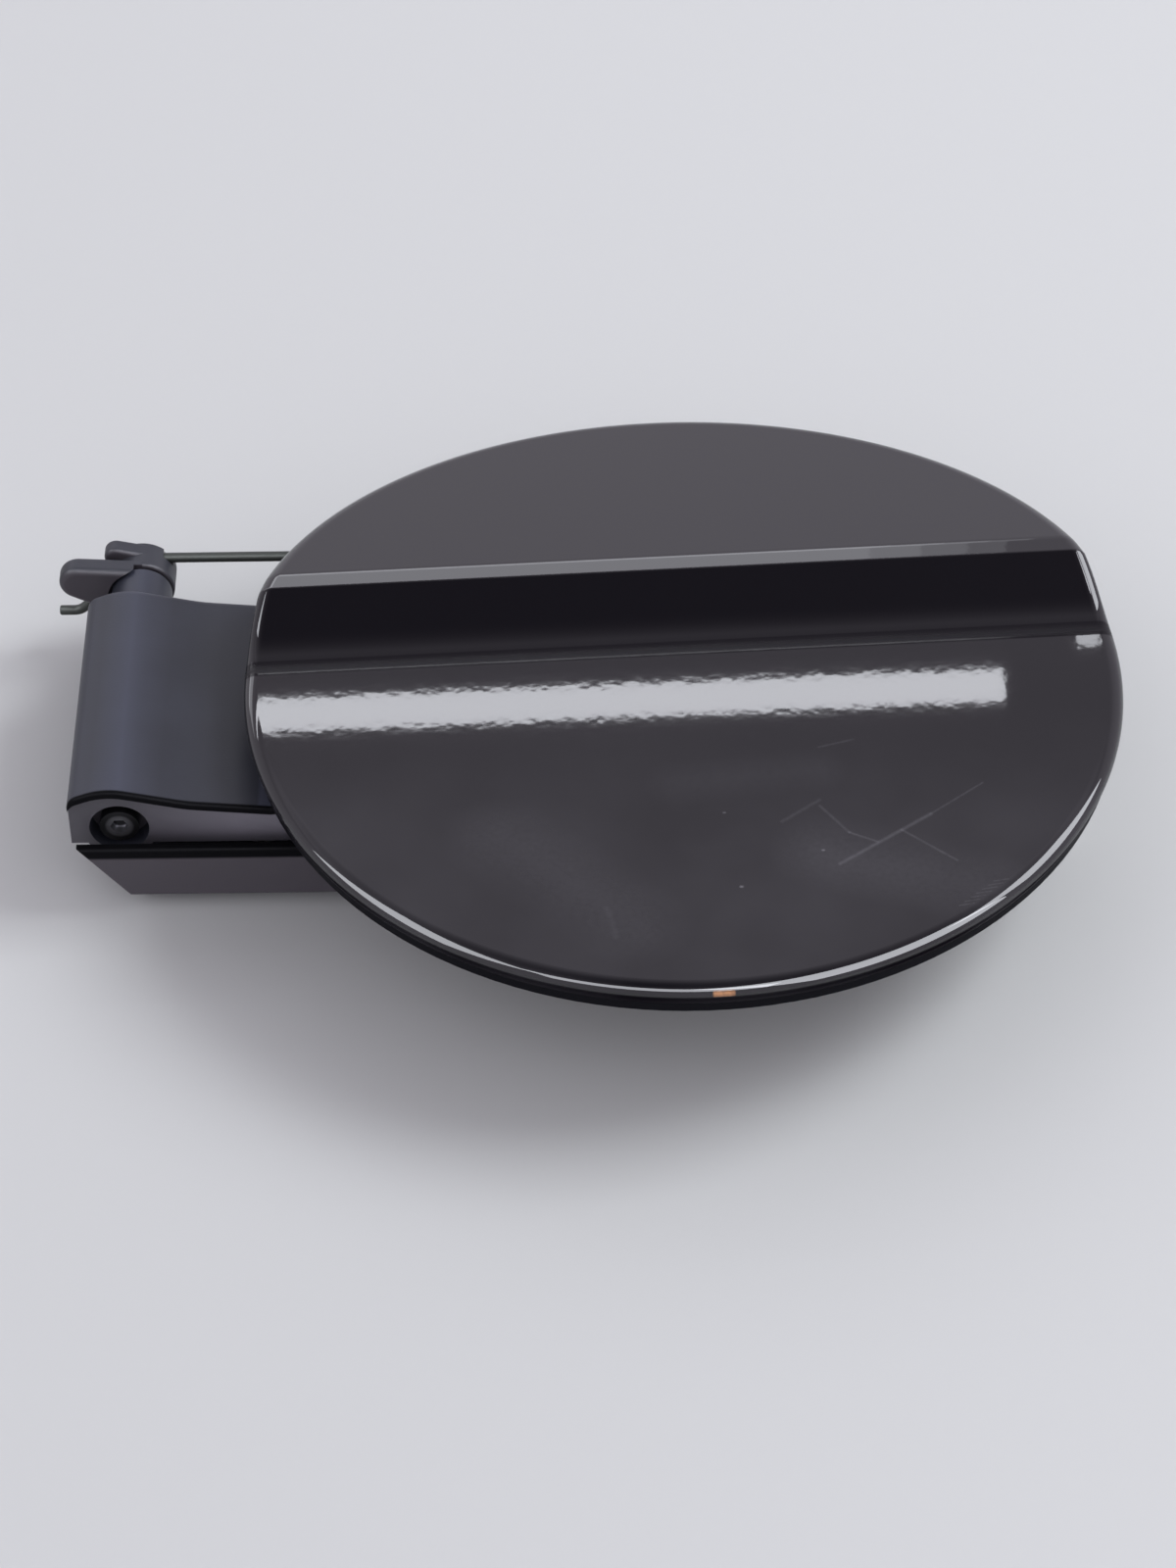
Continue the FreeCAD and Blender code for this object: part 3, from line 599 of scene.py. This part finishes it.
def bump(tree, height, strength, distance):
    """Normal bent by a height pattern; the distance is its full height in metres."""
    sizes = {"Strength": strength, "Distance": distance, "Height": height}
    return add_node(tree, "Bump", sizes).outputs["Normal"]


paint, tree, shader = new_material("body_paint", PAINT, PAINT_ROUGHNESS)
shader.inputs["IOR"].default_value = PAINT_IOR
peel = bump(tree, noise(tree, PEEL_NOISE, PEEL_DETAIL), PEEL_STRENGTH, PEEL_HEIGHT)
tree.links.new(peel, shader.inputs["Normal"])
print("orange peel of", round(1000 / PEEL_NOISE, 1), "mm")

# %% [markdown]
# ### Scratches, haze and the chip
# A scratch roughens the clear coat, so it scatters light and looks paler than the paint. Wiped dust
# leaves a haze, and the haze fades in towards the near rim, so it also paints a sheen that lightens
# the near half of the field. Both are a small share of pale grey in the paint's colour. The chip
# goes down to the primer and stops where the folded hem starts.

# %% Worn paint
PALE_GREY = (0.30, 0.30, 0.32)
PRIMER = (0.62, 0.30, 0.13)
HAZE_NOISE = 28
HAZE_DETAIL = 3.0
HAZE_RANGE = (0.38, 0.70)
HAZE_SHARE = 0.05
HAZE_AND_SHEEN_FADE_Y = (CENTRE[1] - 0.008, CENTRE[1] - 0.045)


def parts(tree, arrow):
    """The X, Y and Z of a vector."""
    return add_node(tree, "SeparateXYZ", {"Vector": arrow}).outputs


def point_share(tree, name):
    """Number that travels with the points of a mesh."""
    return add_node(tree, "Attribute", attribute_name=name).outputs["Fac"]


wear_and_sheen = 0.0
for start, end, width, breaks, strength in SCRATCHES.values():
    wear_and_sheen = calculate(tree, "MULTIPLY_ADD", add_mark(tree, start, end, width, breaks), strength, wear_and_sheen)
haze = remap(tree, noise(tree, HAZE_NOISE, HAZE_DETAIL), *HAZE_RANGE, 0.0, HAZE_SHARE)
# The haze fades in towards the near rim, so it also paints a lighter sheen on the near half of the field.
near_haze_and_sheen = remap(tree, parts(tree, object_place(tree))["Y"], *HAZE_AND_SHEEN_FADE_Y)
wear_and_sheen = calculate(tree, "MULTIPLY_ADD", near_haze_and_sheen, haze, wear_and_sheen)
worn_and_sheened_paint = mix_colours(tree, wear_and_sheen, opaque(PAINT), opaque(PALE_GREY))
hem = point_share(tree, "hem")
chip = calculate(tree, "SUBTRACT", add_mark(tree, *CHIP), hem, clamp=True)
tree.links.new(mix_colours(tree, chip, worn_and_sheened_paint, opaque(PRIMER)), shader.inputs["Base Color"])
print("paint nodes", len(tree.nodes))

# %% [markdown]
# ### Where the paint is dull
# Dirt collects on the folded hem and where the field turns up into the scoop, so the paint is
# rougher there and mirrors less. At the scoop the mirror fades early and the roughness rises
# late, because rough paint that still mirrors would draw a bright line.

# %% Gloss of the paint
HEM_ROUGHER = 0.25
HOLLOW_ROUGHER = 0.34
HOLLOW_LATE = 3.0
HOLLOW_EARLY = 4.0
PAINT_MIRROR = 0.5
HEM_MIRROR = 0.004
HOLLOW_MIRROR_CHANGE = -0.36
hollow = point_share(tree, "hollow")
roughness = calculate(tree, "MULTIPLY_ADD", hem, HEM_ROUGHER, PAINT_ROUGHNESS)
late = calculate(tree, "POWER", hollow, HOLLOW_LATE)
roughness = calculate(tree, "MULTIPLY_ADD", late, HOLLOW_ROUGHER, roughness)
tree.links.new(roughness, shader.inputs["Roughness"])
mirror = remap(tree, hem, 0.0, 1.0, PAINT_MIRROR, HEM_MIRROR)
early = calculate(tree, "MULTIPLY", hollow, HOLLOW_EARLY, clamp=True)
mirror = calculate(tree, "MULTIPLY_ADD", early, HOLLOW_MIRROR_CHANGE, mirror)
tree.links.new(mirror, shader.inputs["Specular IOR Level"])
dress(paint, "flap_skin")

# %% [markdown]
# ### Moulded plastic
# The arm and the base are moulded in filled plastic with a fine spark-eroded grain. Handling
# changes the gloss in soft patches. The faces on the near side are painted paler, a painted light
# from the front, and paler still where the flap's shadow falls on them. Both mouldings share this,
# so it is one node group, placed in each material with its own values.

# %% Group for a moulded face
GRAIN_NOISE = 2600
GRAIN_STRENGTH = 0.6
GRAIN_HEIGHT = 3e-5
PATCH_NOISE = 60
PATCH_DETAIL = 3.0
PATCH_GLOSS = 0.06
PATCH_TONE = 0.4
NEAR_LIGHT_FACING = (-0.3, -1.0)
UNDER_FLAP_LIGHT_X = (-0.024, -0.004)
face_inputs = {"Roughness": "Float", "Painted Highlight": "Float"}
face_inputs.update(dict.fromkeys(["Dark", "Light", "Near Light", "Near Light Under Flap"], "Color"))
face_outputs = {"Colour": "Color", "Roughness": "Float", "Normal": "Vector"}
FACE, given, result = new_group("moulded_face", face_inputs, face_outputs)
patches = noise(FACE, PATCH_NOISE, PATCH_DETAIL)
smoother = calculate(FACE, "SUBTRACT", given["Roughness"], PATCH_GLOSS)
rougher = calculate(FACE, "ADD", given["Roughness"], PATCH_GLOSS)
FACE.links.new(remap(FACE, patches, 0.0, 1.0, smoother, rougher), result["Roughness"])
FACE.links.new(bump(FACE, noise(FACE, GRAIN_NOISE), GRAIN_STRENGTH, GRAIN_HEIGHT), result["Normal"])
# Painted highlight: the ramp along the barrel's crown lightens its top, on top of the random patches.
mottle_and_highlight = calculate(FACE, "MULTIPLY_ADD", patches, PATCH_TONE, given["Painted Highlight"], clamp=True)
toned = mix_colours(FACE, mottle_and_highlight, given["Dark"], given["Light"])
# Painted light: faces towards the near side get a paler colour, and paler still where the flap's shadow
# falls on them.
under_flap_light = remap(FACE, parts(FACE, object_place(FACE))["X"], *UNDER_FLAP_LIGHT_X)
near_light_colour = mix_colours(FACE, under_flap_light, given["Near Light"], given["Near Light Under Flap"])
facing = parts(FACE, add_node(FACE, "TexCoord").outputs["Normal"])
painted_near_light = remap(FACE, facing["Y"], *NEAR_LIGHT_FACING)
FACE.links.new(mix_colours(FACE, painted_near_light, toned, near_light_colour), result["Colour"])
print("moulded face group nodes", len(FACE.nodes))

# %% [markdown]
# ### Painted highlight and painted shade
# The top of the hinge barrel catches the overhead light, so a painted highlight runs along its crown
# and the tone of the plastic follows X in a colour ramp. Past its last stop the ramp rises to white,
# so the plastic under the flap is lighter. Painted shade darkens the arm's outer edge under the lip
# and the seam between arm and base, where shade falls. It also takes away the mirror, which a group's
# output doesn't feed, so its mask stays in the material.

# %% Tone along the arm and painted shade
CROWN_FROM, CROWN_TO = -0.041, 0.001
NEAR_FACES = -0.0268
SHADE_FADE = 0.0004


def painted_highlight_ramp(tree, place_x, crown):
    """Tone along X with the painted highlight: a ramp through the crown's stops, each a place in metres
    and a share.
    """
    ramp = add_node(tree, "ValToRGB", {"Fac": remap(tree, place_x, CROWN_FROM, CROWN_TO)})
    for x, share in crown.items():
        stop = ramp.color_ramp.elements.new((x - CROWN_FROM) / (CROWN_TO - CROWN_FROM))
        stop.color = opaque((share, share, share))
    return ramp.outputs["Color"]


def painted_shade_mask(tree, place, outer_y, seam_z):
    """Larger of two shares of painted shade: past a depth along Y, and on the near faces past a height.
    """
    outer = remap(tree, place["Y"], outer_y + SHADE_FADE, outer_y)
    near = remap(tree, place["Y"], NEAR_FACES + SHADE_FADE, NEAR_FACES)
    seam = calculate(tree, "MULTIPLY", near, remap(tree, place["Z"], *seam_z))
    return calculate(tree, "MAXIMUM", outer, seam)


print("crown from", CROWN_FROM * 1000, "to", CROWN_TO * 1000, "mm")

# %% [markdown]
# ### The two mouldings
# The arm and the base come from different moulds, so their tones differ a little. Only the arm
# has the painted highlight and the painted shade on its outer edge. The base's depth for this shade
# lies outside it, so none shows there, and both have painted shade along the seam.

# %% Plastic of the arm and the base
PAINTED_SHADE = (0.004, 0.004, 0.005)
PLASTIC_MIRROR = 0.3
SHADE_MIRROR = 0.03
DARK_GAIN, LIGHT_GAIN = 0.4, 1.9


def plastic(name, colour, painted_near_light, under_flap_light_gain, roughness, crown, outer_y, seam_z):
    """Grained plastic: the moulded face with its painted highlight and painted near light, then painted
    shade that darkens and dulls it.
    """
    material, tree, shader = new_material(name, colour, roughness)
    place = parts(tree, object_place(tree))
    values = {"Roughness": roughness, "Painted Highlight": painted_highlight_ramp(tree, place["X"], crown)}
    values.update({"Dark": opaque(colour, DARK_GAIN), "Light": opaque(colour, LIGHT_GAIN)})
    values.update({"Near Light": opaque(painted_near_light), "Near Light Under Flap": opaque(painted_near_light, under_flap_light_gain)})
    face = add_node(tree, "Group", values, node_tree=FACE)
    # Painted shade: the lip's outer face and the seam between arm and base are painted dark.
    shade_share = painted_shade_mask(tree, place, outer_y, seam_z)
    shaded_colour = mix_colours(tree, shade_share, face.outputs["Colour"], opaque(PAINTED_SHADE))
    dulled = remap(tree, shade_share, 0.0, 1.0, PLASTIC_MIRROR, SHADE_MIRROR)
    tree.links.new(shaded_colour, shader.inputs["Base Color"])
    tree.links.new(face.outputs["Roughness"], shader.inputs["Roughness"])
    tree.links.new(face.outputs["Normal"], shader.inputs["Normal"])
    tree.links.new(dulled, shader.inputs["Specular IOR Level"])
    return material


arm_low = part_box("hinge_arm")[0]
base_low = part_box("base_bracket")[0]
ARM_EDGE = 0.0008
BASE_CLEAR = 0.01
# Stops of the painted highlight along the barrel's crown; the base's tone stays flat.
ARM_CROWN = {-0.040: 0.10, -0.035: 0.22, -0.031: 0.10, -0.0285: 0.35, -0.0255: 0.62, -0.0225: 0.30}
ARM_CROWN.update({-0.018: 0.0, -0.008: 0.02, 0.0: 0.10})
BASE_CROWN = {-0.040: 0.2, 0.0: 0.2}
arm_plastic = plastic(
    "arm_plastic",
    colour=(0.028, 0.031, 0.045),
    painted_near_light=(0.075, 0.072, 0.082),
    under_flap_light_gain=2.6,
    roughness=0.42,
    crown=ARM_CROWN,
    outer_y=arm_low.y + ARM_EDGE,
    seam_z=(0.0112, 0.0106),
)
base_plastic = plastic(
    "base_plastic",
    colour=(0.034, 0.036, 0.046),
    painted_near_light=(0.066, 0.059, 0.069),
    under_flap_light_gain=1.0,
    roughness=0.46,
    crown=BASE_CROWN,
    outer_y=base_low.y - BASE_CLEAR,
    seam_z=(0.0121, 0.0127),
)
dress(arm_plastic, "hinge_arm")
dress(base_plastic, "base_bracket", "spring_keeper")

# %% [markdown]
# ### Distance from an axis
# Two round pieces change their finish outwards from the middle: the inner sheet and the pin's
# head. Both need a surface point's distance from an axis, so one node group measures it.

# %% Group for the distance from an axis
axis_inputs = {"Centre": "Vector", "Across": "Vector"}
AXIS, given, result = new_group("axis_distance", axis_inputs, {"Distance": "Float"})
outward = vector(AXIS, "SUBTRACT", object_place(AXIS), given["Centre"])
outward = vector(AXIS, "MULTIPLY", outward, given["Across"])
AXIS.links.new(length(AXIS, outward), result["Distance"])


def axis_distance(tree, centre, across):
    """Distance from the line through the centre: the length of the offset along the directions across."""
    measured = {"Centre": centre, "Across": across}
    return add_node(tree, "Group", measured, node_tree=AXIS).outputs["Distance"]


print("axis group nodes", len(AXIS.nodes))

# %% [markdown]
# ### Inner paint
# The inner sheet carries a thin satin coat. It turns dull and dark on the turned-down edge, where
# dirt collects, so the coat's weight falls to nothing over the last millimetres before the edge.

# %% Paint of the inner sheet
PANEL_PAINT = (0.007, 0.007, 0.009)
PANEL_ROUGHNESS = 0.38
PANEL_MIRROR = 0.02
COAT_FADE_R = (RADIUS - 0.0075, RADIUS - 0.0060)
panel_paint, tree, shader = new_material("panel_paint", PANEL_PAINT, PANEL_ROUGHNESS)
shader.inputs["Specular IOR Level"].default_value = PANEL_MIRROR
shader.inputs["Coat Roughness"].default_value = PANEL_ROUGHNESS
coat = remap(tree, axis_distance(tree, (*CENTRE, 0), (1, 1, 0)), *COAT_FADE_R, 1.0, 0.0)
tree.links.new(coat, shader.inputs["Coat Weight"])
dress(panel_paint, "inner_panel")

# %% [markdown]
# ### Metal and rubber
# The fixings are plated steel, the spring is dull drawn wire and the buffers are soft rubber.
# These pieces are small or hidden, so constant values on the shader are enough.

# %% Steel, wire and rubber
steel = new_material("steel", (0.26, 0.26, 0.25), roughness=0.45, metallic=1.0)[0]
dress(steel, "pin_clip", "arm_screws", "panel_nuts", "latch_striker", "striker_rivets", "mount_sleeves")
wire_steel = new_material("wire_steel", (0.036, 0.041, 0.035), roughness=0.5, metallic=0.35)[0]
dress(wire_steel, "spring_wire")
rubber = new_material("rubber", (0.02, 0.02, 0.02), roughness=0.7)[0]
dress(rubber, "near_buffer", "far_buffer")

# %% [markdown]
# ### The pin's head
# The head has a pressed socket. Its colour is painted light and shade: painted shade inside the
# socket and a ring of painted highlight round it. A colour ramp over the distance from the pin's axis
# gives these rings, as a share of the head's radius.

# %% Head of the pin
HEAD_R = 0.004
SOCKET_SHADE = (0.010, 0.010, 0.011)
HEAD_EDGE = (0.030, 0.030, 0.033)
HEAD_TINT = (1.0, 1.0, 1.06)
HEAD_HIGHLIGHT_RINGS = {0.30: 0.012, 0.40: 0.22, 0.58: 0.16, 0.70: 0.03}
dark_steel, tree, shader = new_material("dark_steel", (0.10, 0.10, 0.11), roughness=0.36, metallic=0.9)
spread = remap(tree, axis_distance(tree, (PIN[0], 0, PIN[1]), (1, 0, 1)), 0.0, HEAD_R)
tones = add_node(tree, "ValToRGB", {"Fac": spread})
tones.color_ramp.elements[0].color = opaque(SOCKET_SHADE)
tones.color_ramp.elements[1].color = opaque(HEAD_EDGE)
for place, level in HEAD_HIGHLIGHT_RINGS.items():
    tones.color_ramp.elements.new(place).color = opaque(HEAD_TINT, level)
tree.links.new(tones.outputs["Color"], shader.inputs["Base Color"])
dress(dark_steel, "hinge_pin")

# %% [markdown]
# ## Floor
# The flap lies on a white table. One large square at the height of the base's lowest face stands
# in for it.

# %% Table
FLOOR_HALF = 6
floor_x, floor_y = np.meshgrid([-FLOOR_HALF, FLOOR_HALF], [-FLOOR_HALF, FLOOR_HALF])
floor_points = np.stack([floor_x, floor_y, 0 * floor_x], -1).reshape(-1, 3)
floor_mesh = bpy.data.meshes.new("floor")
floor_mesh.from_pydata(floor_points.tolist(), [], grid_faces(2, 2).tolist())
floor = bpy.data.objects.new("floor", floor_mesh)
bpy.context.scene.collection.objects.link(floor)
floor_paint = new_material("floor", (0.655, 0.675, 0.65), roughness=0.6)[0]
floor.data.materials.append(floor_paint)
print("table of", 2 * FLOOR_HALF, "m")

# %% [markdown]
# ## Light
# Glossy paint shows the room more than its own colour. The world is a ramp over the height of
# the direction, from bright walls to a dark ceiling. The field of the flap mirrors the steps
# near a height of 0.7.

# %% Room
WALL = (0.88, 0.85, 0.94)
CEILING = (0.07, 0.07, 0.08)
ROOM_TINT = (1.0, 0.95, 1.07)
ROOM = {0.60: 0.76, 0.675: 0.57, 0.70: 0.68, 0.725: 0.78, 0.79: 0.60, 0.91: 0.34, 0.975: 0.14}
world = bpy.data.worlds.new("room")
bpy.context.scene.world = world
world.use_nodes = True
tree = world.node_tree
direction = parts(tree, add_node(tree, "TexCoord").outputs["Generated"])
tones = add_node(tree, "ValToRGB", {"Fac": direction["Z"]})
tones.color_ramp.elements[0].color = opaque(WALL)
tones.color_ramp.elements[1].color = opaque(CEILING)
for height, level in ROOM.items():
    tones.color_ramp.elements.new(height).color = opaque(ROOM_TINT, level)
tree.links.new(tones.outputs["Color"], tree.nodes["Background"].inputs["Color"])
print("steps in the room's light", len(tones.color_ramp.elements))

# %% [markdown]
# ### Lamps
# A broad key lamp on the right lights the table and throws the shadow. A tube lamp on the far
# side is mirrored as the bright band across the field. Each lamp is a rectangle, given by the two
# ends of its middle line and turned to a point, because its picture in the paint is then easy to
# place.

# %% Rectangular lamp
LAMP_TINT = (0.95, 0.97, 1.03)


def placed(right, up, back, middle):
    """Matrix of an object at a point, from the directions of its three axes."""
    return Matrix([*np.stack([right, up, back, middle], -1).tolist(), [0, 0, 0, 1]])


def area_light(name, left, right, height, aim, radiance, lights=True):
    """Rectangular light between two ends of its middle line, turned to a point.

    A light that doesn't light matt faces is only there to be mirrored in the paint.
    """
    left, right, aim = Vector(left), Vector(right), Vector(aim)
    middle = (left + right) / 2
    along = (right - left).normalized()
    back = middle - aim
    back = (back - back.dot(along) * along).normalized()
    lamp = bpy.data.lights.new(name, "AREA")
    lamp.shape = "RECTANGLE"
    lamp.size, lamp.size_y = (right - left).length, height
    lamp.color = LAMP_TINT
    lamp.energy = radiance * math.pi * lamp.size * lamp.size_y
    holder = bpy.data.objects.new(name, lamp)
    bpy.context.scene.collection.objects.link(holder)
    holder.matrix_world = placed(along, back.cross(along), back, middle)
    holder.visible_diffuse = lights
    print("lamp", name, [round(v, 2) for v in middle])


FLAP = (0.08, 0, 0.03)
area_light("key", (1.45, 0.0, 1.40), (1.45, 1.0, 1.40), 0.9, FLAP, 8.0)
area_light("tube", (-0.890, 1.274, 1.2570), (0.3066, 1.2888, 1.2235), 0.020, (-0.29, 0, 0.03), 8.2)

# %% [markdown]
# ### Lamps for the mirror
# The strip along the crease mirrors a window, which fades out to the right, so the window and its
# sill come in four steps. A small lamp is mirrored as a spark near the right rim, and three broad
# lamps at the sides and behind the camera show in the rolled edge. None of them lights matt
# faces, so they leave the table's level alone.

# %% Window and side lamps
WINDOW_Y = 2.57
WINDOW_Z, WINDOW_HEIGHT, WINDOW_LEVEL = 1.74, 0.52, 1.75
SILL_Z, SILL_HEIGHT, SILL_LEVEL = 1.40, 0.22, 2.3
WINDOW_STEPS = ((-2.5, 0.30, 1.0), (0.30, 0.345, 0.75), (0.345, 0.385, 0.5), (0.385, 0.42, 0.25))
for left, right, share in WINDOW_STEPS:
    aim = ((left + right) / 2, 0, FLAP[2])
    window_ends = (left, WINDOW_Y, WINDOW_Z), (right, WINDOW_Y, WINDOW_Z)
    sill_ends = (left, WINDOW_Y, SILL_Z), (right, WINDOW_Y, SILL_Z)
    area_light(f"window_{right}", *window_ends, WINDOW_HEIGHT, aim, WINDOW_LEVEL * share, lights=False)
    area_light(f"sill_{right}", *sill_ends, SILL_HEIGHT, aim, SILL_LEVEL * share, lights=False)
GLINT = (0.156, 0.005, 0.032)
area_light("glint", (0.3087, 1.0403, 0.9618), (0.3206, 1.0408, 0.9609), 0.012, GLINT, 6.0, lights=False)
area_light("left", (-1.25, -1.1, 1.35), (-1.25, 0.3, 1.35), 1.1, FLAP, 7.4, lights=False)
area_light("behind", (-0.7, -0.95, 1.3), (0.5, -0.95, 1.3), 0.6, FLAP, 7.4, lights=False)
area_light("right", (0.485, -1.139, 1.291), (1.289, 0.007, 1.291), 1.2, FLAP, 8.8, lights=False)

# %% [markdown]
# ## Camera
# The camera stands where the photo was taken from: in front of the flap, looking down at about
# 44 degrees. Its axes are written out, because they were fitted to the outline of the flap.

# %% Camera at the photo's angle
EYE = (0.06152, -0.61629, 0.59007)
RIGHT = np.array([0.99991744, -0.00888958, -0.0092784])
UP = np.array([0.01284965, 0.69175815, 0.72201492])
camera_data = bpy.data.cameras.new("camera")
camera_data.lens = 101.25
camera_data.sensor_width = 36
camera_data.clip_start = 0.05
camera = bpy.data.objects.new("camera", camera_data)
bpy.context.scene.collection.objects.link(camera)
camera.matrix_world = placed(RIGHT, UP, np.cross(RIGHT, UP), EYE)
bpy.context.scene.camera = camera
bpy.context.scene.view_settings.view_transform = "Standard"
print("camera lens", camera_data.lens, "mm")
